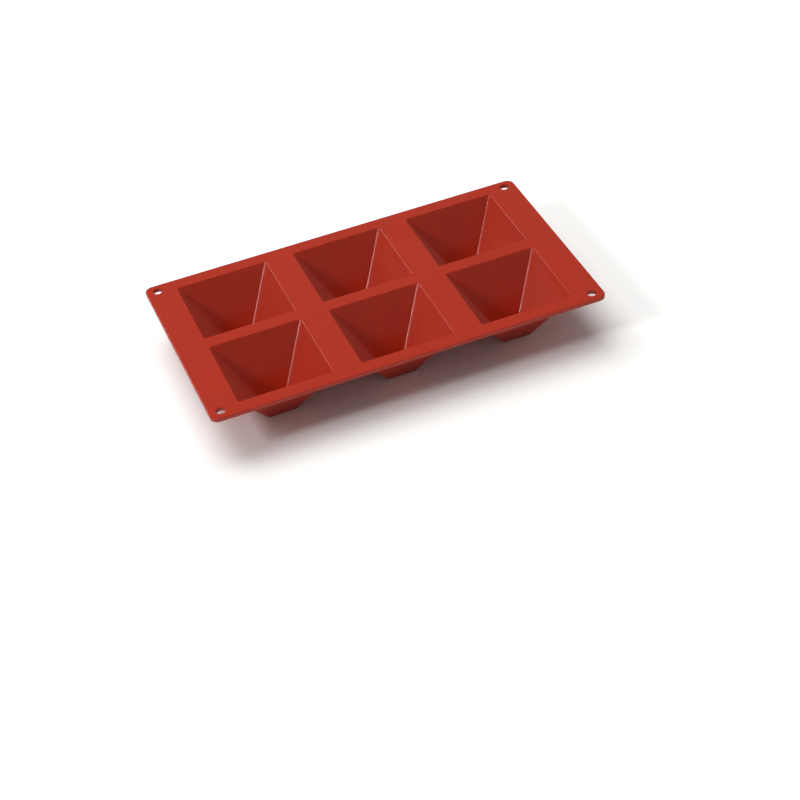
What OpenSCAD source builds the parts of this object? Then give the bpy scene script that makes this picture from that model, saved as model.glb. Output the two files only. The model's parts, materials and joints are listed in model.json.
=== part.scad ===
// Flexible silicone baking and casting mould: six pyramid cavities in a thin
// deck with a thicker rim and a hole in each corner. Millimetres, +Z up.
// It stands on its six cavity floors, mouths up, with its centre over the origin.
// The mould is one moulding: each module is a named region of it, and the
// regions meet face to face.

/* [Overall] */
// Length along X, over the rim
mould_length = 300; // [292:1:400]
// Width along Y, over the rim
mould_width = 175; // [170:1:260]
// Radius of the four outer corners, seen from above
corner_radius = 6; // [1:0.5:8]

/* [Cavities] */
// Side of the square mouth at the top face
cavity_mouth = 70.5; // [50:0.5:73]
// Side of the square floor inside
cavity_floor = 20.2; // [8:0.1:45]
// Depth from the top face to the floor inside
cavity_depth = 40; // [12:1:60]
// Space between the mouths of two neighbouring columns
column_gap = 21.5; // [16:0.5:26]
// Space between the mouths of the two rows
row_gap = 11.5; // [6:0.5:16]

/* [Skin] */
// Thickness of the flat deck between the cavities
deck_thickness = 1.8; // [1:0.1:3]
// Thickness of the sloping cavity walls, square to the wall
wall_thickness = 1.5; // [0.8:0.1:2.5]
// Thickness of the cavity floors
floor_thickness = 1.8; // [1:0.1:4]

/* [Rim] */
// Width of the thicker edge
rim_width = 5; // [3:0.5:8]
// How far the rim stands down below the deck's underside
rim_drop = 1.6; // [0.5:0.1:5]

/* [Corner holes] */
// Diameter of the hole in each corner
hole_diameter = 7; // [3:0.5:9]
// From the short end to the hole's centre
hole_inset_x = 8.8; // [7:0.1:11]
// From the long side to the hole's centre
hole_inset_y = 7.9; // [7:0.1:10]
// Diameter of the round pad about the hole, as thick as the rim
pad_diameter = 16.6; // [12:0.2:18]

/* [Flexing strips] */
// Width of deck that stays with the cavities on each side of a flexing strip
strip_margin = 2.75; // [2.3:0.05:4]

/* [Hidden] */
$fn = 96;

silicone = "#B8402D";

// Where a region lies: its column counts from the left, its row from the front
LEFT = -1;
MIDDLE = 0;
RIGHT = 1;
FRONT = -1;
BACK = 1;

// How far a cut runs past the solid that it cuts
overcut = 1;

half_length = mould_length / 2;
half_width = mould_width / 2;
column_pitch = cavity_mouth + column_gap;
row_pitch = cavity_mouth + row_gap;

// Heights above the surface that the mould stands on
top_z = floor_thickness + cavity_depth;
deck_z = top_z - deck_thickness;
rim_z = deck_z - rim_drop;

// The wall's slope: how far it moves outwards for each millimetre that it rises
wall_slope = (cavity_mouth - cavity_floor) / 2 / cavity_depth;
// The wall's thickness measured level instead of square to the wall
wall_level = wall_thickness * sqrt(1 + wall_slope * wall_slope);

// The deck's field inside the rim
field_x = half_length - rim_width;
field_y = half_width - rim_width;

// The flexing strips, on the side of positive X
strip_inner_x = cavity_mouth / 2 + strip_margin;
strip_outer_x = column_pitch - cavity_mouth / 2 - strip_margin;

// The corner holes, and where the corners end and the rims start
hole_x = half_length - hole_inset_x;
hole_y = half_width - hole_inset_y;
rim_end_x = hole_x - pad_diameter / 2;
rim_end_y = hole_y - pad_diameter / 2;

// Half the inside width of a cavity at height z
function inside_half(z) = cavity_floor / 2 + (z - floor_thickness) * wall_slope;

// Half the outside width of a cup at height z
function outside_half(z) = inside_half(z) + wall_level;

// A square block whose sides slope, from half width low at z0 to high at z1
module sloped_block(low, high, z0, z1) {
    outline = [[-low, z0], [low, z0], [high, z1], [-high, z1]];
    intersection() {
        rotate([90, 0, 0])
            linear_extrude(2 * (high + overcut), center = true)
                polygon(outline);
        rotate([90, 0, 90])
            linear_extrude(2 * (high + overcut), center = true)
                polygon(outline);
    }
}

// The space inside one cavity, run past the top face so that it cuts cleanly
module cavity_space() {
    past_z = top_z + overcut;
    sloped_block(inside_half(floor_thickness), inside_half(past_z),
        floor_thickness, past_z);
}

// Puts its children at the middle of one cavity
module at_cavity(column, row) {
    translate([column * column_pitch, row * row_pitch / 2, 0])
        children();
}

// One cavity's walls and floor, up to the deck's underside
module cup(column, row) {
    color(silicone)
        at_cavity(column, row)
            difference() {
                sloped_block(outside_half(0), outside_half(deck_z), 0, deck_z);
                cavity_space();
            }
}

// The mould's outline seen from above
module outline() {
    straight_x = half_length - corner_radius;
    straight_y = half_width - corner_radius;
    square([2 * straight_x, mould_width], center = true);
    square([mould_length, 2 * straight_y], center = true);
    for (x = [-straight_x, straight_x], y = [-straight_y, straight_y])
        translate([x, y])
            circle(r = corner_radius);
}

// A rectangle between two opposite points, given in either order
module between(a, b) {
    translate([min(a.x, b.x), min(a.y, b.y)])
        square([abs(b.x - a.x), abs(b.y - a.y)]);
}

// The plan of one corner: the round pad and the ends of the two rims
module corner_plan(side, row) {
    intersection() {
        outline();
        union() {
            translate([side * hole_x, row * hole_y])
                circle(d = pad_diameter);
            between([side * field_x, row * rim_end_y],
                [side * half_length, row * half_width]);
            between([side * rim_end_x, row * field_y],
                [side * half_length, row * half_width]);
        }
    }
}

// One corner, as thick as the rim, with its hole
module corner(side, row) {
    color(silicone)
        difference() {
            translate([0, 0, rim_z])
                linear_extrude(top_z - rim_z)
                    corner_plan(side, row);
            translate([side * hole_x, row * hole_y, rim_z - overcut])
                cylinder(d = hole_diameter, h = top_z - rim_z + 2 * overcut);
        }
}

// A flat bar of rim between two opposite points in plan
module rim_bar(a, b) {
    color(silicone)
        translate([0, 0, rim_z])
            linear_extrude(top_z - rim_z)
                between(a, b);
}

// The rim across one short end
module rim_end(side) {
    rim_bar([side * field_x, -rim_end_y], [side * half_length, rim_end_y]);
}

// The rim along a long side, beside an outer column
module rim_side_outer(side, row) {
    rim_bar([side * strip_outer_x, row * field_y],
        [side * rim_end_x, row * half_width]);
}

// The rim along a long side, beside the middle column
module rim_side_middle(row) {
    rim_bar([-strip_inner_x, row * field_y],
        [strip_inner_x, row * half_width]);
}

// The deck about one outer column, inside the rim and clear of the corners
module deck_outer(side) {
    color(silicone)
        difference() {
            translate([0, 0, deck_z])
                linear_extrude(deck_thickness)
                    difference() {
                        between([side * strip_outer_x, -field_y],
                            [side * field_x, field_y]);
                        corner_plan(side, FRONT);
                        corner_plan(side, BACK);
                    }
            for (row = [FRONT, BACK])
                at_cavity(side, row)
                    cavity_space();
        }
}

// The strip of deck and rim that bends between two columns
module flex_strip(side) {
    section = [
        [-half_width, rim_z], [-field_y, rim_z],
        [-field_y, deck_z], [field_y, deck_z],
        [field_y, rim_z], [half_width, rim_z],
        [half_width, top_z], [-half_width, top_z]
    ];
    start_x = side > 0 ? strip_inner_x : -strip_outer_x;
    color(silicone)
        translate([start_x, 0, 0])
            rotate([90, 0, 90])
                linear_extrude(strip_outer_x - strip_inner_x)
                    polygon(section);
}

module deck_left() deck_outer(LEFT);

module deck_right() deck_outer(RIGHT);

module deck_middle() {
    color(silicone)
        difference() {
            translate([0, 0, deck_z])
                linear_extrude(deck_thickness)
                    square([2 * strip_inner_x, 2 * field_y], center = true);
            for (row = [FRONT, BACK])
                at_cavity(MIDDLE, row)
                    cavity_space();
        }
}

module flex_strip_left() flex_strip(LEFT);

module flex_strip_right() flex_strip(RIGHT);

module rim_left_end() rim_end(LEFT);

module rim_right_end() rim_end(RIGHT);

module rim_front_left() rim_side_outer(LEFT, FRONT);

module rim_front_middle() rim_side_middle(FRONT);

module rim_front_right() rim_side_outer(RIGHT, FRONT);

module rim_back_left() rim_side_outer(LEFT, BACK);

module rim_back_middle() rim_side_middle(BACK);

module rim_back_right() rim_side_outer(RIGHT, BACK);

module corner_front_left() corner(LEFT, FRONT);

module corner_front_right() corner(RIGHT, FRONT);

module corner_back_left() corner(LEFT, BACK);

module corner_back_right() corner(RIGHT, BACK);

module cup_front_left() cup(LEFT, FRONT);

module cup_front_middle() cup(MIDDLE, FRONT);

module cup_front_right() cup(RIGHT, FRONT);

module cup_back_left() cup(LEFT, BACK);

module cup_back_middle() cup(MIDDLE, BACK);

module cup_back_right() cup(RIGHT, BACK);

deck_left();
deck_middle();
deck_right();
flex_strip_left();
flex_strip_right();
rim_left_end();
rim_right_end();
rim_front_left();
rim_front_middle();
rim_front_right();
rim_back_left();
rim_back_middle();
rim_back_right();
corner_front_left();
corner_front_right();
corner_back_left();
corner_back_right();
cup_front_left();
cup_front_middle();
cup_front_right();
cup_back_left();
cup_back_middle();
cup_back_right();
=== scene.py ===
"""The looks of a brick-red silicone casting mould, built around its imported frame.

The mould is one moulding. It is shown as three stiff panels of two cavities each,
the two strips of thin deck that flex between them, and the six cups below, whose
surfaces run on into each other without a step. Lengths are in metres.
"""

from __future__ import annotations

import json
import logging
import math
from abc import ABC, abstractmethod
from dataclasses import dataclass, replace
from enum import Enum
from typing import Any, Iterable, Sequence

import bmesh
import bpy
from mathutils import Matrix, Vector
from mathutils.geometry import tessellate_polygon

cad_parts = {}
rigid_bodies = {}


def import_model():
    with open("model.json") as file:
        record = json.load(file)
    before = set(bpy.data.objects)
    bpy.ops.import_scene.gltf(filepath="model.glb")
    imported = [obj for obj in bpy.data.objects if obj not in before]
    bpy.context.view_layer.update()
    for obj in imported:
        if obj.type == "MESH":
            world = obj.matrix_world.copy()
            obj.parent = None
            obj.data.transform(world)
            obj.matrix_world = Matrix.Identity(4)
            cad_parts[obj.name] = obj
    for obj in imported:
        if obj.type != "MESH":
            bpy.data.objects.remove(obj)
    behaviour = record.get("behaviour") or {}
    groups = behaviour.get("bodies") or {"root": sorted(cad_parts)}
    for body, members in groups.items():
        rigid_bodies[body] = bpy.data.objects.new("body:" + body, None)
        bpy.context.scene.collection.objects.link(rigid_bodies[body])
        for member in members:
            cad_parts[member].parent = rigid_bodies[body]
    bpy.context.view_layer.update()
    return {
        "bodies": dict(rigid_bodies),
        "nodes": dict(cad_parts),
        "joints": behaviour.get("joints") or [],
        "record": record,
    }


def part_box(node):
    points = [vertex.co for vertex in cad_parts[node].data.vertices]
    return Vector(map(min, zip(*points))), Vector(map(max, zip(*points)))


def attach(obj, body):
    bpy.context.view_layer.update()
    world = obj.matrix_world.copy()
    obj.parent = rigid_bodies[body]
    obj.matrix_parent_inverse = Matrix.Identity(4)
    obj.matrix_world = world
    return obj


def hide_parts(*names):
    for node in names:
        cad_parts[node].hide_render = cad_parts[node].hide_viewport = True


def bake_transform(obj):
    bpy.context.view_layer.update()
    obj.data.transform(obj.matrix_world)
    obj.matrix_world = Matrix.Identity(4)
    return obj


MM = 0.001
LOG = logging.getLogger("casting_mould")

# Faces that meet at a larger angle than this keep a hard edge in the shading.
HARD_EDGE_DEG = 40.0

# Faces whose normal rises more than this come from the polished half of the tool.
POLISHED_RISE = 0.1

# Places that lie within a micrometre of each other are the same.
DECIMALS = 6
SAME_PLACE = 1e-6

# Points of a skin that lie closer than this are one point.
WELD = 1e-7

# A cup and its collar cut each rounded corner into the same stretches, so that they meet.
# An arc has one point more than it has stretches, and two more points lie beside it.
CORNERS = 4
CORNER_STEPS = 8
CORNER_POINTS_MORE = 3

# A point in plan, a section of insets and heights, a row of a skin's points, a node's socket.
Plan = tuple[float, float]
Section = list[tuple[float, float]]
Ring = list[bmesh.types.BMVert]
Socket = bpy.types.NodeSocket


class Place(Enum):
    """A place on the mould, seen from the front, as a direction along an axis."""

    @property
    def label(self) -> str:
        """The place as the frame's names spell it."""
        return self.name.lower()


class Row(Place):
    """Which row of cavities a piece belongs to."""

    FRONT = -1
    BACK = 1


class Column(Place):
    """Which column of cavities a piece belongs to."""

    LEFT = -1
    MIDDLE = 0
    RIGHT = 1


# ---- Sizes ----


@dataclass(frozen=True)
class Softening:
    """Radii and margins that the tool leaves on the moulding, finer than the frame holds."""

    rim_edge: float = 0.55 * MM
    rim_step: float = 0.45 * MM
    rim_foot: float = 0.7 * MM
    rim_draft: float = 0.12 * MM
    pad_sweep: float = 2.6 * MM
    hole_edge: float = 0.3 * MM
    lip: float = 0.8 * MM
    cup_root: float = 1.3 * MM
    cup_edge: float = 1.5 * MM
    cup_foot: float = 1.5 * MM
    crease: float = 1.5 * MM
    well: float = 1.1 * MM
    # The corner radius in plan that is left where a cup's rounding has used it up.
    least_corner: float = 0.15 * MM
    # A narrow band of flat face beside each rounding, so that its shading stays there.
    hold: float = 0.35 * MM
    # How far below the deck's underside a cup is joined to its panel.
    seam_drop: float = 3.0 * MM
    # How far the bend of a flexing strip reaches to either side of its line.
    bend_reach: float = 5.0 * MM


@dataclass(frozen=True)
class MouldSizes:
    """The sizes of the mould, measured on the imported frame.

    Heights are above the surface that the mould stands on. A half is measured from
    the middle of the mould, or from the middle of a cavity for the cups.
    """

    top: float
    deck: float
    rim: float
    half_length: float
    half_width: float
    field_x: float
    field_y: float
    strip_inner: float
    strip_outer: float
    corner_radius: float
    hole_x: float
    hole_y: float
    hole_radius: float
    pad_radius: float
    pitch_x: float
    row_y: float
    foot_half: float
    floor_half: float
    floor: float
    slope: float

    @classmethod
    def from_frame(cls, frame: dict[str, Any]) -> MouldSizes:
        """Reads the sizes off the frame's nodes and mounts.


        Returns:
            The sizes of the mould.
        """
        deck_low, deck_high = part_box("deck_middle")
        rim_low, rim_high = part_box("rim_back_middle")
        end_low, end_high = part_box("rim_right_end")
        strip_low, strip_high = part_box("flex_strip_right")
        corner_low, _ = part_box("corner_back_right")
        cup_low, cup_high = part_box("cup_back_right")
        hole = next(m for m in frame["record"]["mounts"] if m["name"] == "hole_back_right")
        hole_x, hole_y, _ = hole["pos_m"]
        centre = (cup_low + cup_high) / 2
        levels = cls._levels(frame["nodes"]["cup_back_right"], centre)
        foot, floor, *_, root = sorted(levels)
        floor_half = max(levels[floor])
        corner = frame["nodes"]["corner_back_right"].data.vertices
        straight = max(v.co.x for v in corner if abs(v.co.y - rim_high.y) < SAME_PLACE)
        return cls(
            top=deck_high.z,
            deck=deck_low.z,
            rim=rim_low.z,
            half_length=end_high.x,
            half_width=rim_high.y,
            field_x=end_low.x,
            field_y=rim_low.y,
            strip_inner=strip_low.x,
            strip_outer=strip_high.x,
            corner_radius=end_high.x - straight,
            hole_x=hole_x,
            hole_y=hole_y,
            hole_radius=hole["dims"]["r_mm"] * MM,
            pad_radius=hole_x - corner_low.x,
            pitch_x=centre.x,
            row_y=centre.y,
            foot_half=max(levels[foot]),
            floor_half=floor_half,
            floor=floor,
            slope=(min(levels[root]) - floor_half) / (root - floor),
        )

    @staticmethod
    def _levels(node: bpy.types.Object, centre: Vector) -> dict[float, set[float]]:
        """Groups a cup's corners by height, each with how far it lies from the middle.

        Args:
            node: The frame's cup.
            centre: The middle of the cup in plan.

        Returns:
            The half widths found at each height, both rounded to a micrometre.
        """
        levels: dict[float, set[float]] = {}
        for vertex in node.data.vertices:
            half = round(abs(vertex.co.x - centre.x), DECIMALS)
            levels.setdefault(round(vertex.co.z, DECIMALS), set()).add(half)
        return levels

    @property
    def turn(self) -> float:
        """The angle between the level deck and a sloping wall, in radians."""
        return math.atan(1 / self.slope)

    def inside(self, height: float) -> float:
        """Half the inside width of a cavity at a height."""
        return self.floor_half + (height - self.floor) * self.slope

    def outside(self, height: float) -> float:
        """Half the outside width of a cup at a height."""
        return self.foot_half + height * self.slope


# ---- Outlines and sections ----


@dataclass(frozen=True)
class EdgePoint:
    """A point of an outline in plan, with the unit direction that leads into the deck."""

    x: float
    y: float
    inward_x: float
    inward_y: float

    def at(self, inset: float, height: float) -> Vector:
        """The point moved inwards by an inset, at a height."""
        return Vector((self.x + inset * self.inward_x, self.y + inset * self.inward_y, height))


Chain = list[EdgePoint]


def turn_steps(turn: float, steps: int) -> list[float]:
    """The angles from nothing to a turn, in equal steps."""
    return [turn * i / steps for i in range(steps + 1)]


def arc_points(
    centre: Plan,
    radius: float,
    start_deg: float,
    end_deg: float,
    steps: int,
    faces_centre: bool,
) -> Chain:
    """Points along an arc of an outline.

    Args:
        centre: The arc's centre in plan.
        radius: The arc's radius.
        start_deg: The angle of the first point.
        end_deg: The angle of the last point.
        steps: How many stretches the arc is cut into.
        faces_centre: True if the deck lies on the side of the arc's centre.

    Returns:
        The arc's points, from start to end.
    """
    sign = -1.0 if faces_centre else 1.0
    points = []
    for i in range(steps + 1):
        angle = math.radians(start_deg + (end_deg - start_deg) * i / steps)
        cos, sin = math.cos(angle), math.sin(angle)
        x, y = centre[0] + radius * cos, centre[1] + radius * sin
        points.append(EdgePoint(x, y, sign * cos, sign * sin))
    return points


def with_holds(chain: Chain, hold: float) -> Chain:
    """Adds a point close to each end of every straight stretch of a chain.

    Args:
        chain: The chain's points, in which arcs are already cut into short stretches.
        hold: How far from the ends the new points lie.

    Returns:
        The chain with the new points.
    """
    # A stretch no longer than this is part of an arc.
    arc_stretch = 4 * hold
    held = [chain[0]]
    for start, end in zip(chain, chain[1:]):
        length = math.hypot(end.x - start.x, end.y - start.y)
        if length > arc_stretch:
            step_x = (end.x - start.x) * hold / length
            step_y = (end.y - start.y) * hold / length
            held.append(replace(start, x=start.x + step_x, y=start.y + step_y))
            held.append(replace(end, x=end.x - step_x, y=end.y - step_y))
        held.append(end)
    return held


@dataclass(frozen=True)
class Station:
    """One ring of a cavity or cup: a square with rounded corners at a height."""

    half: float
    corner: float
    height: float


@dataclass(frozen=True)
class CupSection:
    """How a cavity and its cup run from the deck down to the floor, as stations."""

    sizes: MouldSizes
    soft: Softening
    bend_steps: int = 6

    @property
    def seam(self) -> float:
        """The height at which the cup is joined to its panel."""
        return self.sizes.deck - self.soft.seam_drop

    def _tangent(self, radius: float) -> float:
        """How far a rounding of this radius reaches along the flat from the sharp edge."""
        return radius * math.tan(self.sizes.turn / 2)

    def _inner(self, height: float) -> Station:
        """The inside of the wall at a height."""
        return Station(self.sizes.inside(height), self.soft.crease, height)

    def _outer(self, height: float) -> Station:
        """The outside of the wall at a height."""
        return Station(self.sizes.outside(height), self.soft.cup_edge, height)

    def _along_wall(self, station: Station, climb: float) -> Station:
        """The station moved along its sloping wall by a narrow band, up (1) or down (-1)."""
        reach = climb * self.soft.hold
        half = station.half + reach * math.cos(self.sizes.turn)
        return Station(half, station.corner, station.height + reach * math.sin(self.sizes.turn))

    def _shoulder(self, edge: Station, radius: float) -> list[Station]:
        """The turn from a level face down into a sloping wall.

        Args:
            edge: The sharp edge that is rounded. The corners grow outwards from it.
            radius: The rounding's radius.

        Returns:
            The stations from the face to the wall.
        """
        half, corner, height = edge.half, edge.corner, edge.height
        reach = self._tangent(radius)
        flat = Station(half + reach + self.soft.hold, corner + reach + self.soft.hold, height)
        bend = []
        for angle in turn_steps(self.sizes.turn, self.bend_steps):
            out = reach - radius * math.sin(angle)
            drop = radius * (1 - math.cos(angle))
            # The wall itself has moved inwards by this much at that depth.
            wall = drop * self.sizes.slope
            bend.append(Station(half + out, corner + out + wall, height - drop))
        return [flat, *bend, self._along_wall(bend[-1], -1)]

    def _foot(self, edge: Station, radius: float) -> list[Station]:
        """The turn from a sloping wall to the level face at its lower end.

        Args:
            edge: The sharp edge that is rounded. The corners shrink inwards from it.
            radius: The rounding's radius.

        Returns:
            The stations from the wall to the middle of the level face.
        """
        half, corner, height = edge.half, edge.corner, edge.height
        reach = self._tangent(radius)
        least = self.soft.least_corner
        bend = []
        for angle in reversed(turn_steps(self.sizes.turn, self.bend_steps)):
            rise = radius * (1 - math.cos(angle))
            at = half - reach + radius * math.sin(angle)
            inset = half + rise * self.sizes.slope - at
            bend.append(Station(at, max(least, corner - inset), height + rise))
        last = bend[-1]
        flat = Station(last.half - self.soft.hold, max(least, last.corner - self.soft.hold), height)
        return [self._along_wall(bend[0], 1), *bend, flat, Station(0.0, 0.0, height)]

    def lip(self) -> list[Station]:
        """The inside of a panel's collar, from the top face down to the seam."""
        shoulder = self._shoulder(self._inner(self.sizes.top), self.soft.lip)
        return [*shoulder, self._inner(self.seam)]

    def root(self) -> list[Station]:
        """The outside of a panel's collar, from the deck's underside down to the seam."""
        shoulder = self._shoulder(self._outer(self.sizes.deck), self.soft.cup_root)
        return [*shoulder, self._outer(self.seam)]

    def cup(self) -> list[Station]:
        """A cup all round: from the middle of its foot, up outside, and down inside to its floor."""
        s, soft = self.sizes, self.soft
        outside = self._foot(Station(s.foot_half, soft.cup_edge, 0.0), soft.cup_foot)
        inside = self._foot(Station(s.floor_half, soft.crease, s.floor), soft.well)
        middle = (self.seam + s.floor) / 2
        return [
            *reversed(outside),
            self._outer(middle),
            self._outer(self.seam),
            self._inner(self.seam),
            self._inner(middle),
            *inside,
        ]


def square_ring(station: Station, centre: Plan, hold: float) -> list[Vector]:
    """The points of a square ring with rounded corners.

    Args:
        station: The ring's half width, corner radius and height.
        centre: The ring's middle in plan.
        hold: How far beside a corner the straight side gets a point of its own.

    Returns:
        The ring's points, anticlockwise from the corner at +X +Y.
    """
    straight = station.half - station.corner
    hold = min(hold, straight)
    points = []
    for corner in range(CORNERS):
        facing = math.radians(45 + 90 * corner)
        middle_x = centre[0] + math.copysign(straight, math.cos(facing))
        middle_y = centre[1] + math.copysign(straight, math.sin(facing))
        for i in range(-1, CORNER_STEPS + 2):
            angle = math.radians(90 * (corner + min(max(i / CORNER_STEPS, 0), 1)))
            slip = hold * ((i > CORNER_STEPS) - (i < 0))
            cos, sin = math.cos(angle), math.sin(angle)
            x = middle_x + station.corner * cos - slip * sin
            y = middle_y + station.corner * sin + slip * cos
            points.append(Vector((x, y, station.height)))
    return points


def round_ring(centre: Plan, radius: float, height: float, steps: int) -> list[Vector]:
    """The points of a circle at a height, anticlockwise from +X."""
    x, y = centre
    turns = turn_steps(2 * math.pi, steps)[:-1]
    return [Vector((x + radius * math.cos(a), y + radius * math.sin(a), height)) for a in turns]


@dataclass(frozen=True)
class RimSection:
    """How the rim runs from the top face round its edge and up to the deck's underside.

    Each entry is an inset and a height. The edge's insets are from the mould's outline,
    and the step's insets are from the line where the thin deck starts.
    """

    sizes: MouldSizes
    soft: Softening
    bend_steps: int = 4

    def edge(self) -> Section:
        """From the top face over the outer edge to the rim's underside."""
        return self._over(self.soft.rim_edge)

    def hole(self) -> Section:
        """From the top face down a corner hole to the rim's underside."""
        return self._over(self.soft.hole_edge)

    def _over(self, r: float) -> Section:
        """From the top face to the rim's underside, both edges rounded by the radius r."""
        s, hold = self.sizes, self.soft.hold
        turns = turn_steps(math.pi / 2, self.bend_steps)
        upper = [(r - r * math.sin(a), s.top - r + r * math.cos(a)) for a in turns]
        lower = [(inset, s.top + s.rim - height) for inset, height in reversed(upper)]
        return [(r + hold, s.top), *upper, *lower, (r + hold, s.rim)]

    def step(self) -> Section:
        """From the rim's underside up the step to the deck's underside."""
        s, soft = self.sizes, self.soft
        turns = turn_steps(math.pi / 2, self.bend_steps)
        r, g, hold = soft.rim_step, soft.rim_foot, soft.hold
        upper = [(-r + r * math.sin(a), s.rim + r - r * math.cos(a)) for a in turns]
        foot = soft.rim_draft
        lower = [(foot + g - g * math.cos(a), s.deck - g + g * math.sin(a)) for a in turns]
        return [(-r - hold, s.rim), *upper, *lower, (foot + g + hold, s.deck)]


# ---- Meshes ----


@dataclass(frozen=True)
class ToolFinishes:
    """What the two halves of the tool leave on the rubber.

    The upper half is polished, so that what is cast in the cavities comes out smooth.
    The lower half is spark-eroded, so that the mould lets go of it.
    """

    polished: bpy.types.Material
    eroded: bpy.types.Material


class Skin:
    """Gathers rings of points and the faces between them into one closed mesh."""

    def __init__(self) -> None:
        """Starts with no points."""
        self._bm = bmesh.new()

    def ring(self, points: Iterable[Vector]) -> Ring:
        """Adds a ring of points and gives its vertices, in the same order."""
        return [self._bm.verts.new(p) for p in points]

    def loft(self, rings: Sequence[Ring], closed: bool) -> None:
        """Joins each ring to the next, which is as long, with four-sided faces.

        Args:
            rings: The rings in order.
            closed: True if the rings run round and meet their own starts.
        """
        for first, second in zip(rings, rings[1:]):
            count = len(first)
            for i in range(count if closed else count - 1):
                j = (i + 1) % count
                self._bm.faces.new((first[i], first[j], second[j], second[i]))

    def cap(self, outline: Ring, holes: Sequence[Ring] = ()) -> None:
        """Fills a flat outline, leaving its holes open.

        Args:
            outline: The vertices round the outside.
            holes: The vertices round each hole.
        """
        loops = [outline, *holes]
        verts = [v for loop in loops for v in loop]
        for triangle in tessellate_polygon([[v.co for v in loop] for loop in loops]):
            self._bm.faces.new([verts[i] for i in triangle])

    def make(self, name: str, finish: ToolFinishes) -> bpy.types.Object:
        """Turns what was gathered into an object with soft shading between hard edges.

        Args:
            name: The piece's name.
            finish: The finishes that the two halves of the tool give.

        Returns:
            The new object, linked to the scene.
        """
        bmesh.ops.remove_doubles(self._bm, verts=self._bm.verts, dist=WELD)
        bmesh.ops.recalc_face_normals(self._bm, faces=self._bm.faces)
        loose = [e for e in self._bm.edges if not e.is_manifold]
        if loose:
            where = loose[0].verts[0].co
            raise ValueError(f"{name} is not closed at {len(loose)} edges, as at {where}")
        mesh = bpy.data.meshes.new(name)
        mesh.materials.append(finish.polished)
        mesh.materials.append(finish.eroded)
        for face in self._bm.faces:
            face.material_index = 0 if face.normal.z > POLISHED_RISE else 1
        self._bm.to_mesh(mesh)
        self._bm.free()
        return linked(name, mesh)


def linked(name: str, mesh: bpy.types.Mesh) -> bpy.types.Object:
    """Shades a mesh softly between its hard edges and links an object of it.

    Args:
        name: The object's name.
        mesh: A finished mesh, in place.

    Returns:
        The new object.
    """
    mesh.polygons.foreach_set("use_smooth", [True] * len(mesh.polygons))
    mesh.set_sharp_from_angle(angle=math.radians(HARD_EDGE_DEG))
    piece = bpy.data.objects.new(name, mesh)
    bpy.context.scene.collection.objects.link(piece)
    return piece


@dataclass
class Piece(ABC):
    """A piece of the mould, the nodes that it stands for and how it moves."""

    sizes: MouldSizes
    soft: Softening
    finish: ToolFinishes
    column: Column

    @property
    def body(self) -> str:
        """The body of the piece's column."""
        return f"{self.column.label}_panel"

    @property
    @abstractmethod
    def nodes(self) -> tuple[str, ...]:
        """The names of the frame's nodes that the piece stands for."""

    @abstractmethod
    def build(self) -> bpy.types.Object:
        """Builds the piece's object, in place."""

    def hang(self, piece: bpy.types.Object) -> None:
        """Lets the built object ride on its column's body."""
        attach(piece, self.body)

    def place(self, slot: str) -> None:
        """Builds the piece, hangs it and reports it.

        Args:
            slot: Not used.
        """
        piece = self.build()
        self.hang(piece)
        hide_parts(*self.nodes)
        faces, nodes = len(piece.data.polygons), ", ".join(self.nodes)
        LOG.info("%s: %d faces, stands for %s", piece.name, faces, nodes)


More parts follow.
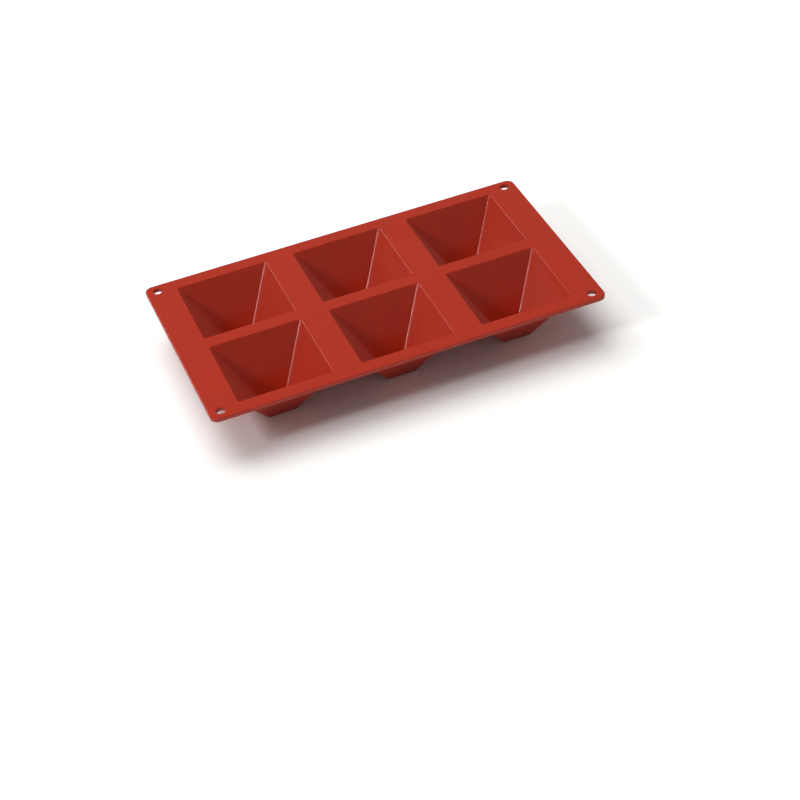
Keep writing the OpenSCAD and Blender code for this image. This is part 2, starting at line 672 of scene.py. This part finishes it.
@dataclass
class Panel(Piece):
    """A stiff panel: deck, rim and corners, with the collars that its two cups hang from.

    Each chain of an outline runs anticlockwise between two cuts, where a flexing strip
    takes over. An outer panel has one chain and the middle panel has two.
    """

    arc_steps: int = 10
    hole_steps: int = 48

    @property
    def nodes(self) -> tuple[str, ...]:
        """The deck and the rims, and an outer panel's corners too."""
        side = self.column.label
        nodes = (f"deck_{side}", f"rim_front_{side}", f"rim_back_{side}")
        if self.column is Column.MIDDLE:
            return nodes
        return (*nodes, f"rim_{side}_end", f"corner_front_{side}", f"corner_back_{side}")

    def _outer_chains(self) -> list[Chain]:
        """The chains of the mould's outline along this panel."""
        s = self.sizes
        if self.column is Column.MIDDLE:
            return self._straight_chains(s.half_width)
        r = s.corner_radius
        x, y = s.half_length - r, s.half_width - r
        front = arc_points((x, -y), r, -90, 0, self.arc_steps, faces_centre=True)
        back = arc_points((x, y), r, 0, 90, self.arc_steps, faces_centre=True)
        return self._from_strip(s.half_width, [*front, *back])

    def _inner_chains(self) -> list[Chain]:
        """The chains of the line where the rim and pads end and the thin deck starts."""
        s, sweep = self.sizes, self.soft.pad_sweep
        if self.column is Column.MIDDLE:
            return self._straight_chains(s.field_y)
        reach = s.pad_radius + sweep
        # The sweeps are small arcs that lead from the straight rim on to the round pad.
        near_y = -s.field_y + sweep
        near_x = s.hole_x - math.sqrt(reach**2 - (near_y + s.hole_y) ** 2)
        far_x = s.field_x - sweep
        far_y = -s.hole_y + math.sqrt(reach**2 - (far_x - s.hole_x) ** 2)
        to_near = math.degrees(math.atan2(near_y + s.hole_y, near_x - s.hole_x)) % 360
        to_far = math.degrees(math.atan2(far_y + s.hole_y, far_x - s.hole_x))
        steps, hole = self.arc_steps, (s.hole_x, -s.hole_y)
        front = [
            *arc_points((near_x, near_y), sweep, -90, to_near - 180, steps, faces_centre=True),
            *arc_points(hole, s.pad_radius, to_near, to_far, 2 * steps, faces_centre=False)[1:-1],
            *arc_points((far_x, far_y), sweep, to_far - 180, 0, steps, faces_centre=True),
        ]
        back = [EdgePoint(p.x, -p.y, p.inward_x, -p.inward_y) for p in reversed(front)]
        return self._from_strip(s.field_y, [*front, *back])

    def _straight_chains(self, half: float) -> list[Chain]:
        """The front and back chains of the middle panel, at this distance from its middle."""
        x = self.sizes.strip_inner
        front = [EdgePoint(-x, -half, 0, 1), EdgePoint(x, -half, 0, 1)]
        back = [EdgePoint(x, half, 0, -1), EdgePoint(-x, half, 0, -1)]
        return [front, back]

    def _from_strip(self, half: float, points: Chain) -> list[Chain]:
        """An outer panel's one chain, from its strip through the right panel's points and back."""
        x = self.sizes.strip_outer
        chain = [EdgePoint(x, -half, 0, 1), *points, EdgePoint(x, half, 0, -1)]
        if self.column is Column.LEFT:
            # The left panel is the right one turned half round.
            chain = [EdgePoint(-p.x, -p.y, -p.inward_x, -p.inward_y) for p in chain]
        return [chain]

    def build(self) -> bpy.types.Object:
        """Builds the panel's mesh as one closed skin.

        Returns:
            The panel's object.
        """
        skin = Skin()
        section = RimSection(self.sizes, self.soft)
        hold = self.soft.hold
        outer = [with_holds(chain, hold) for chain in self._outer_chains()]
        inner = [with_holds(chain, hold) for chain in self._inner_chains()]
        edges = self._swept(skin, outer, section.edge())
        steps = self._swept(skin, inner, section.step())
        hole_tops, hole_bottoms = self._corner_holes(skin, section.hole())
        lips, roots = self._collars(skin)
        skin.cap([v for rings in edges for v in rings[0]], lips + hole_tops)
        for edge, step in zip(edges, steps):
            skin.cap([*edge[-1], *reversed(step[0])], hole_bottoms)
        skin.cap([v for rings in steps for v in rings[-1]], roots)
        for i, (edge, step) in enumerate(zip(edges, steps)):
            following = (i + 1) % len(edges)
            ends = [rings[-1] for rings in (*edge, *step)]
            starts = [rings[0] for rings in (*edges[following], *steps[following])]
            skin.cap([*ends, *reversed(starts)])
        return skin.make(f"panel_{self.column.label}", self.finish)

    @staticmethod
    def _swept(skin: Skin, chains: list[Chain], section: Section) -> list[list[Ring]]:
        """Sweeps a section along each chain.

        Args:
            skin: The skin to add to.
            chains: The chains to follow.
            section: The section's insets and heights.

        Returns:
            For each chain, its rings in the section's order.
        """
        swept = []
        for chain in chains:
            rings = [skin.ring(p.at(inset, height) for p in chain) for inset, height in section]
            skin.loft(rings, closed=False)
            swept.append(rings)
        return swept

    def _corner_holes(self, skin: Skin, wall: Section) -> tuple[list[Ring], list[Ring]]:
        """Adds the walls of the panel's corner holes.

        Args:
            skin: The skin to add to.
            wall: The holes' section, as distances out from the bore and heights.

        Returns:
            The holes' rings on the top face, and those on the underside.
        """
        if self.column is Column.MIDDLE:
            return [], []
        s = self.sizes
        tops, bottoms = [], []
        for row in Row:
            centre = (self.column.value * s.hole_x, row.value * s.hole_y)
            rings = [
                skin.ring(round_ring(centre, s.hole_radius + out, height, self.hole_steps))
                for out, height in wall
            ]
            skin.loft(rings, closed=True)
            tops.append(rings[0])
            bottoms.append(rings[-1])
        return tops, bottoms

    def _collars(self, skin: Skin) -> tuple[list[Ring], list[Ring]]:
        """Adds the collars that the cups hang from.

        Args:
            skin: The skin to add to.

        Returns:
            The collars' rings on the top face, and those on the deck's underside.
        """
        s = self.sizes
        section = CupSection(s, self.soft)
        lips, roots = [], []
        for row in Row:
            centre = (self.column.value * s.pitch_x, row.value * s.row_y)
            inside, outside = (
                [skin.ring(square_ring(station, centre, self.soft.hold)) for station in part]
                for part in (section.lip(), section.root())
            )
            skin.loft([*inside, *reversed(outside)], closed=True)
            lips.append(inside[0])
            roots.append(outside[0])
        return lips, roots


@dataclass
class FlexStrip(Piece):
    """The strip of deck and rim that bends between the middle column and an outer one."""

    slices: int = 48

    @property
    def nodes(self) -> tuple[str, ...]:
        """The one node that the strip stands for."""
        return (f"flex_strip_{self.column.label}",)

    def hang(self, piece: bpy.types.Object) -> None:
        """Bakes the strip's place into its mesh, and hangs it on no body."""
        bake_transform(piece)

    def build(self) -> bpy.types.Object:
        """Builds the strip as its cross-section swept along X.

        Returns:
            The strip's object.
        """
        s = self.sizes
        section = RimSection(s, self.soft)
        half = [(-s.half_width + inset, height) for inset, height in section.edge()]
        half += [(-s.field_y + inset, height) for inset, height in section.step()]
        outline = [*half, *((-y, height) for y, height in reversed(half))]
        low, high = sorted(self.column.value * x for x in (s.strip_inner, s.strip_outer))
        places = [low + (high - low) * i / self.slices for i in range(self.slices + 1)]
        skin = Skin()
        rings = [skin.ring(Vector((x, y, height)) for y, height in outline) for x in places]
        skin.loft(rings, closed=True)
        skin.cap(rings[0])
        skin.cap(rings[-1])
        return skin.make(f"strip_{self.column.label}", self.finish)


# ---- Geometry Nodes ----


def add_node(
    tree: bpy.types.NodeTree,
    kind: str,
    settings: dict[str, Any] | None = None,
    links: dict[int | str, Any] | None = None,
) -> bpy.types.Node:
    """Adds a node to a tree.

    Args:
        tree: The shader or geometry tree.
        kind: The node's type name.
        settings: Properties to set on the node.
        links: For each input, by name or number, the socket to link or the value to set.

    Returns:
        The new node.
    """
    node = tree.nodes.new(kind)
    for key, value in (settings or {}).items():
        setattr(node, key, value)
    for key, value in (links or {}).items():
        if isinstance(value, Socket):
            tree.links.new(value, node.inputs[key])
        else:
            node.inputs[key].default_value = value
    return node


class CupTree:
    """A geometry tree that turns a cup's stations into its closed rounded square shell."""

    INPUTS = {
        "Stations": "NodeSocketGeometry",
        "Centre": "NodeSocketVector",
        "Corner Steps": "NodeSocketInt",
        "Hold": "NodeSocketFloat",
        "Polished": "NodeSocketMaterial",
        "Eroded": "NodeSocketMaterial",
    }

    def __init__(self) -> None:
        """Builds the tree once, for all the cups."""
        self.tree = bpy.data.node_groups.new("cup_from_stations", "GeometryNodeTree")
        add = self.tree.interface.new_socket
        self._inputs = {
            name: add(name, in_out="INPUT", socket_type=kind).identifier
            for name, kind in self.INPUTS.items()
        }
        add("Shell", in_out="OUTPUT", socket_type="NodeSocketGeometry")
        self._wire()

    def _maths(self, operation: str, first: Any, second: Any = 0.0) -> Socket:
        """One step of arithmetic on two sockets or values."""
        node = add_node(self.tree, "ShaderNodeMath", {"operation": operation}, {0: first, 1: second})
        return node.outputs[0]

    def _wire(self) -> None:
        """Lays out the tree: a grid whose rows are stations and whose columns run round."""
        tree, maths = self.tree, self._maths
        given = tree.nodes.new("NodeGroupInput").outputs
        count = add_node(
            tree, "GeometryNodeAttributeDomainSize", {"component": "MESH"}, {0: given["Stations"]}
        ).outputs["Point Count"]
        per_corner = maths("ADD", given["Corner Steps"], CORNER_POINTS_MORE)
        around = maths("MULTIPLY", per_corner, CORNERS)
        links = {"Vertices X": maths("ADD", around, 1.0), "Vertices Y": count}
        grid = add_node(tree, "GeometryNodeMeshGrid", links=links).outputs["Mesh"]
        index = tree.nodes.new("GeometryNodeInputIndex").outputs[0]
        station = self._station(given, maths("MODULO", index, count))
        lap = maths("FLOOR", maths("DIVIDE", index, count))
        column = maths("MODULO", lap, around)
        links = {"Geometry": grid, "Position": self._point(given, station, column, per_corner)}
        shell = add_node(tree, "GeometryNodeSetPosition", links=links).outputs[0]
        links = {"Geometry": shell, "Distance": SAME_PLACE}
        merged = add_node(tree, "GeometryNodeMergeByDistance", links=links).outputs[0]
        real = add_node(tree, "GeometryNodeRealizeInstances", links={0: merged}).outputs[0]
        add_node(tree, "NodeGroupOutput", links={0: self._dressed(given, real)})

    def _point(self, given: Any, station: Socket, column: Socket, per_corner: Socket) -> Socket:
        """The place of a grid's point, which lies at a column of a station's rounded square.

        Args:
            given: The tree's inputs.
            station: The point's station.
            column: The point's number round the square.
            per_corner: How many points a corner has.

        Returns:
            The point's place.
        """
        tree, maths = self.tree, self._maths
        corner = maths("FLOOR", maths("DIVIDE", column, per_corner))
        # The first and last point of each corner are the ones beside it.
        step = maths("SUBTRACT", maths("MODULO", column, per_corner), 1.0)
        reached = maths("DIVIDE", step, given["Corner Steps"])
        share = maths("MINIMUM", maths("MAXIMUM", reached, 0.0), 1.0)
        beside = maths("SIGN", maths("SUBTRACT", reached, share))
        angle = maths("MULTIPLY", maths("ADD", corner, share), math.pi / 2)
        facing = maths("MULTIPLY", maths("ADD", corner, 0.5), math.pi / 2)
        size = add_node(tree, "ShaderNodeSeparateXYZ", links={0: station}).outputs
        straight = maths("SUBTRACT", size["X"], size["Y"])
        slip = maths("MULTIPLY", beside, maths("MINIMUM", given["Hold"], straight))
        past = maths("ADD", angle, math.pi / 2)
        x, y = (
            maths(
                "ADD",
                maths("MULTIPLY", maths("SIGN", maths(wave, facing)), straight),
                maths(
                    "ADD",
                    maths("MULTIPLY", maths(wave, angle), size["Y"]),
                    maths("MULTIPLY", maths(wave, past), slip),
                ),
            )
            for wave in ("COSINE", "SINE")
        )
        local = add_node(tree, "ShaderNodeCombineXYZ", links={0: x, 1: y, 2: size["Z"]}).outputs[0]
        links = {0: local, 1: given["Centre"]}
        return add_node(tree, "ShaderNodeVectorMath", {"operation": "ADD"}, links).outputs[0]

    def _dressed(self, given: Any, shell: Socket) -> Socket:
        """The shell with the polished finish inside and the eroded one outside."""
        tree = self.tree
        normal = tree.nodes.new("GeometryNodeInputNormal").outputs[0]
        rise = add_node(tree, "ShaderNodeSeparateXYZ", links={0: normal}).outputs["Z"]
        outside = self._maths("LESS_THAN", rise, POLISHED_RISE)
        links = {"Geometry": shell, "Material": given["Polished"]}
        inner = add_node(tree, "GeometryNodeSetMaterial", links=links).outputs[0]
        links = {"Geometry": inner, "Selection": outside, "Material": given["Eroded"]}
        return add_node(tree, "GeometryNodeSetMaterial", links=links).outputs[0]

    def _station(self, given: Any, row: Socket) -> Socket:
        """The station of a row: its half width, corner radius and height, as one vector."""
        position = self.tree.nodes.new("GeometryNodeInputPosition").outputs[0]
        settings = {"data_type": "FLOAT_VECTOR", "domain": "POINT"}
        links = {"Geometry": given["Stations"], "Value": position, "Index": row}
        return add_node(self.tree, "GeometryNodeSampleIndex", settings, links).outputs[0]

    def run(
        self, name: str, stations: list[Station], centre: Plan, hold: float, finish: ToolFinishes
    ) -> bpy.types.Mesh:
        """Runs the tree on one cup's stations.

        Args:
            name: The mesh's name.
            stations: The cup's stations, from the middle of its foot round to its floor.
            centre: The middle of the cup in plan.
            hold: How far beside a corner the straight side gets a point of its own.
            finish: The finishes that the two halves of the tool give.

        Returns:
            The cup's plain mesh, in place.
        """
        line = bpy.data.meshes.new(name + "_stations")
        line.from_pydata([(t.half, t.corner, t.height) for t in stations], [], [])
        carrier = bpy.data.objects.new(name + "_stations", line)
        bpy.context.scene.collection.objects.link(carrier)
        modifier = carrier.modifiers.new("cup", "NODES")
        modifier.node_group = self.tree
        settings = {
            "Centre": (*centre, 0.0),
            "Corner Steps": CORNER_STEPS,
            "Hold": hold,
            "Polished": finish.polished,
            "Eroded": finish.eroded,
        }
        for label, value in settings.items():
            modifier[self._inputs[label]] = value
        graph = bpy.context.evaluated_depsgraph_get()
        mesh = bpy.data.meshes.new_from_object(carrier.evaluated_get(graph))
        mesh.name = name
        bpy.data.objects.remove(carrier)
        return mesh


@dataclass
class Cup(Piece):
    """One cavity's walls and floor, below its panel's collar."""

    row: Row
    tree: CupTree

    @property
    def nodes(self) -> tuple[str, ...]:
        """The one node that the cup stands for."""
        return (f"cup_{self.row.label}_{self.column.label}",)

    def build(self) -> bpy.types.Object:
        """Builds the cup with the geometry tree.

        Returns:
            The cup's object.
        """
        s = self.sizes
        centre = (self.column.value * s.pitch_x, self.row.value * s.row_y)
        stations = CupSection(s, self.soft).cup()
        name = self.nodes[0] + "_shell"
        return linked(name, self.tree.run(name, stations, centre, self.soft.hold, self.finish))


# ---- Materials ----


def linear(colour: str) -> tuple[float, float, float, float]:
    """Turns an sRGB hex colour into linear light.

    Args:
        colour: Six hex digits after a hash.

    Returns:
        Red, green, blue and a full alpha.
    """
    # The numbers are those of the sRGB curve: a straight start, then a power.
    parts = [int(colour[i : i + 2], 16) / 255 for i in (1, 3, 5)]
    light = [c / 12.92 if c <= 0.04045 else ((c + 0.055) / 1.055) ** 2.4 for c in parts]
    return (light[0], light[1], light[2], 1.0)


@dataclass(frozen=True)
class MouldedSilicone:
    """Platinum-cured silicone rubber, dyed brick red and moulded in a steel tool.

    The surface is satin or matt, as the tool's was. Pigment is a little uneven over a
    few centimetres, and what is left of the tool's texture shows as a fine grain.
    """

    name: str
    roughness: float
    roughness_swing: float
    grain_depth: float
    base: str = "#A52A14"
    deeper: str = "#9A2612"
    ior: float = 1.41
    # Pigment drifts over about 25 mm. A detail is how many finer layers a texture has.
    drift_size: float = 25 * MM
    drift_detail: float = 3.0
    # The tool's grain is too fine to show at this scale, so it is drawn at 0.5 mm.
    grain_size: float = 0.5 * MM
    grain_detail: float = 2.0
    # Cooling leaves the flat faces very slightly uneven, over about 18 mm.
    wave_size: float = 18 * MM
    wave_detail: float = 1.0
    wave_depth: float = 0.05 * MM
    # A trace of sheen at grazing angles.
    sheen: float = 0.03
    sheen_roughness: float = 0.4

    def build(self) -> bpy.types.Material:
        """Builds the material's node tree.

        Returns:
            The finished material.
        """
        material = bpy.data.materials.new(self.name)
        material.use_nodes = True
        tree = material.node_tree
        tree.nodes.clear()
        place = tree.nodes.new("ShaderNodeTexCoord").outputs["Object"]
        drift = self._noise(tree, place, self.drift_size, self.drift_detail)
        grain = self._noise(tree, place, self.grain_size, self.grain_detail)
        wave = self._noise(tree, place, self.wave_size, self.wave_detail)
        # A colour mix has its two colours at inputs 6 and 7 and its result at output 2.
        links = {"Factor": drift, 6: linear(self.base), 7: linear(self.deeper)}
        tint = add_node(tree, "ShaderNodeMix", {"data_type": "RGBA"}, links).outputs[2]
        low, high = self.roughness - self.roughness_swing, self.roughness + self.roughness_swing
        links = {"Value": grain, "To Min": low, "To Max": high}
        gloss = add_node(tree, "ShaderNodeMapRange", links=links).outputs[0]
        links = {"Height": wave, "Distance": self.wave_depth, "Strength": 1.0}
        uneven = add_node(tree, "ShaderNodeBump", links=links).outputs[0]
        links = {"Height": grain, "Distance": self.grain_depth, "Strength": 1.0, "Normal": uneven}
        textured = add_node(tree, "ShaderNodeBump", links=links).outputs[0]
        links = {
            "Base Color": tint,
            "Roughness": gloss,
            "Normal": textured,
            "IOR": self.ior,
            "Sheen Weight": self.sheen,
            "Sheen Roughness": self.sheen_roughness,
        }
        shader = add_node(tree, "ShaderNodeBsdfPrincipled", links=links).outputs[0]
        add_node(tree, "ShaderNodeOutputMaterial", links={"Surface": shader})
        return material

    @staticmethod
    def _noise(tree: bpy.types.NodeTree, place: Socket, size: float, detail: float) -> Socket:
        """Noise at a place, with features of about a real size and some finer layers."""
        links = {"Vector": place, "Scale": 1 / size, "Detail": detail}
        return add_node(tree, "ShaderNodeTexNoise", links=links).outputs[0]


# Polished steel leaves the rubber satin, with crisp lights along its creases.
POLISHED_SILICONE = MouldedSilicone(
    name="moulded_silicone_satin", roughness=0.2, roughness_swing=0.04, grain_depth=0.004 * MM
)
# Spark-eroded steel leaves it matt and slightly rough to the touch.
ERODED_SILICONE = MouldedSilicone(
    name="moulded_silicone_matt", roughness=0.5, roughness_swing=0.08, grain_depth=0.025 * MM
)


@dataclass(frozen=True)
class StudioPaper:
    """Matt white background paper."""

    name: str = "studio_paper"
    colour: str = "#F7F7F5"
    roughness: float = 0.9

    def build(self) -> bpy.types.Material:
        """Builds the paper's node tree."""
        material = bpy.data.materials.new(self.name)
        material.use_nodes = True
        shader = material.node_tree.nodes["Principled BSDF"]
        shader.inputs["Base Color"].default_value = linear(self.colour)
        shader.inputs["Roughness"].default_value = self.roughness
        return material


# ---- The studio ----


@dataclass(frozen=True)
class SoftBox:
    """A square lamp that faces the mould."""

    name: str
    azimuth_deg: float
    elevation_deg: float
    distance: float
    size: float
    watts: float
    # Crossed filters on the lamp and the camera take the lamp's own glare off the rubber.
    polarised: bool = False

    def build(self) -> bpy.types.Object:
        """Hangs the lamp and turns it towards the mould."""
        data = bpy.data.lights.new(self.name, "AREA")
        data.shape = "SQUARE"
        data.size = self.size
        data.energy = self.watts
        lamp = bpy.data.objects.new(self.name, data)
        back = from_angles(self.azimuth_deg, self.elevation_deg)
        lamp.location = back * self.distance
        lamp.rotation_euler = (-back).to_track_quat("-Z", "Y").to_euler()
        lamp.visible_glossy = not self.polarised
        bpy.context.scene.collection.objects.link(lamp)
        return lamp


def from_angles(azimuth_deg: float, elevation_deg: float) -> Vector:
    """The unit direction towards an azimuth and elevation, where azimuth 0 is the front."""
    a, e = math.radians(azimuth_deg), math.radians(elevation_deg)
    return Vector((math.sin(a) * math.cos(e), -math.cos(a) * math.cos(e), math.sin(e)))


# The main light, from above and behind.
TOP_SOFT_BOX = SoftBox(
    "top_soft_box",
    azimuth_deg=-155,
    elevation_deg=73,
    distance=2.8,
    size=2.4,
    watts=73,
    polarised=True,
)
# The light that the creases of the cavities mirror.
SIDE_SOFT_BOX = SoftBox(
    "side_soft_box", azimuth_deg=-74, elevation_deg=41, distance=2.4, size=0.36, watts=17
)
# The light that the lips of the cavities mirror.
BACK_SOFT_BOX = SoftBox(
    "back_soft_box", azimuth_deg=-162, elevation_deg=35, distance=2.4, size=0.4, watts=5
)


@dataclass(frozen=True)
class Studio:
    """A pale floor, soft light and the camera."""

    camera_azimuth_deg: float = -16.03
    camera_elevation_deg: float = 36.17
    camera_distance: float = 1.554
    camera_roll_deg: float = -7.35
    # Where the camera's axis meets the floor.
    aim_x: float = -0.0115
    aim_y: float = -0.0779
    lens_mm: float = 94.4
    sensor_mm: float = 36.0
    floor_half: float = 4.0
    # The paper lies a hair below the mould's feet, so that their faces don't coincide.
    floor_gap: float = 0.1 * MM
    sky: str = "#FFFFFF"
    sky_strength: float = 0.27
    lamps: tuple[SoftBox, ...] = (TOP_SOFT_BOX, SIDE_SOFT_BOX, BACK_SOFT_BOX)

    def build(self, sizes: MouldSizes) -> None:
        """Sets up the floor, the light and the camera.

        Args:
            sizes: The sizes of the mould, for the camera's distance from its middle.
        """
        self._floor()
        for lamp in self.lamps:
            lamp.build()
        self._sky()
        self._camera(sizes)
        view = bpy.context.scene.view_settings
        view.view_transform = "Standard"
        view.look = "None"

    def _floor(self) -> None:
        """Lays the paper that the mould stands on."""
        mesh = bpy.data.meshes.new("studio_floor")
        h, z = self.floor_half, -self.floor_gap
        mesh.from_pydata([(-h, -h, z), (h, -h, z), (h, h, z), (-h, h, z)], [], [(0, 1, 2, 3)])
        floor = bpy.data.objects.new("studio_floor", mesh)
        mesh.materials.append(StudioPaper().build())
        bpy.context.scene.collection.objects.link(floor)

    def _sky(self) -> None:
        """Sets the even light from all round."""
        world = bpy.data.worlds.new("studio_sky")
        world.use_nodes = True
        background = world.node_tree.nodes["Background"]
        background.inputs["Color"].default_value = linear(self.sky)
        background.inputs["Strength"].default_value = self.sky_strength
        bpy.context.scene.world = world

    def _camera(self, sizes: MouldSizes) -> None:
        """Places the camera."""
        data = bpy.data.cameras.new("studio_camera")
        data.lens = self.lens_mm
        data.sensor_width = self.sensor_mm
        camera = bpy.data.objects.new("studio_camera", data)
        middle = Vector((0, 0, sizes.top / 2))
        back = from_angles(self.camera_azimuth_deg, self.camera_elevation_deg)
        place = middle + back * self.camera_distance
        aim = Vector((self.aim_x, self.aim_y, 0))
        level = (aim - place).to_track_quat("-Z", "Y").to_matrix().to_4x4()
        roll = Matrix.Rotation(math.radians(self.camera_roll_deg), 4, "Z")
        camera.matrix_world = Matrix.Translation(place) @ level @ roll
        bpy.context.scene.collection.objects.link(camera)
        bpy.context.scene.camera = camera


# ---- The mould ----


@dataclass
class CastingMould:
    """The whole mould: three panels, two flexing strips and six cups."""

    sizes: MouldSizes
    soft: Softening
    slot: str

    def build(self) -> None:
        """Builds, dresses and hangs every piece."""
        finish = ToolFinishes(POLISHED_SILICONE.build(), ERODED_SILICONE.build())
        given = (self.sizes, self.soft, finish)
        tree = CupTree()
        pieces: list[Piece] = [
            *(Panel(*given, column) for column in Column),
            *(FlexStrip(*given, column) for column in (Column.LEFT, Column.RIGHT)),
            *(Cup(*given, column, row, tree) for row in Row for column in Column),
        ]
        for piece in pieces:
            piece.place(self.slot)


def main() -> None:
    """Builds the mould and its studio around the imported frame."""
    logging.basicConfig(level=logging.INFO, format="%(name)s: %(message)s")
    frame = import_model()
    sizes = MouldSizes.from_frame(frame)
    Studio().build(sizes)
    slot = frame["record"]["materials"][0]["slot"]
    CastingMould(sizes, Softening(), slot).build()


if __name__ == "__main__":
    main()
